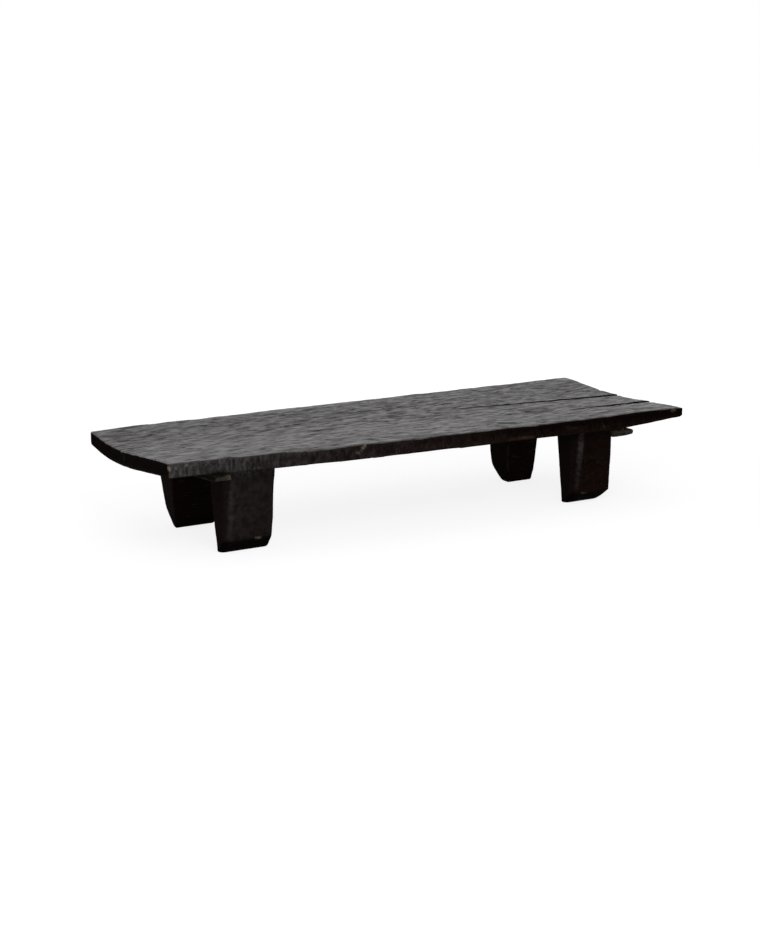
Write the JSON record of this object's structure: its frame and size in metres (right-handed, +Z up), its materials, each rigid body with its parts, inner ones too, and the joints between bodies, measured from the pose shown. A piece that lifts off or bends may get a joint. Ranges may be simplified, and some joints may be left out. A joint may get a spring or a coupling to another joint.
{
  "type": "carved bed",
  "caption": "long low bed hewn from one log: a dished dark deck on block legs, stiffened below by pegged cross battens",
  "frame": {"origin": "on the floor, under the middle of the bed's box", "axes": "+X along the bed to the right end as the picture shows it, +Y across it to the back, +Z up"},
  "size_m": [2, 0.7518, 0.3459],
  "materials": {
    "bed_wood": "black handled patina, satin",
    "batten_wood": "grey weathered, dull",
    "peg_wood": "dark whittled, dull"
  },
  "bodies": {
    "root": {"carved_bed": "bed_wood", "left_batten": "batten_wood", "right_batten": "batten_wood", "left_batten_peg_1": "peg_wood", "left_batten_peg_2": "peg_wood", "left_batten_peg_3": "peg_wood", "left_batten_peg_4": "peg_wood", "right_batten_peg_1": "peg_wood", "right_batten_peg_2": "peg_wood", "right_batten_peg_3": "peg_wood", "right_batten_peg_4": "peg_wood"}
  },
  "joints": []
}
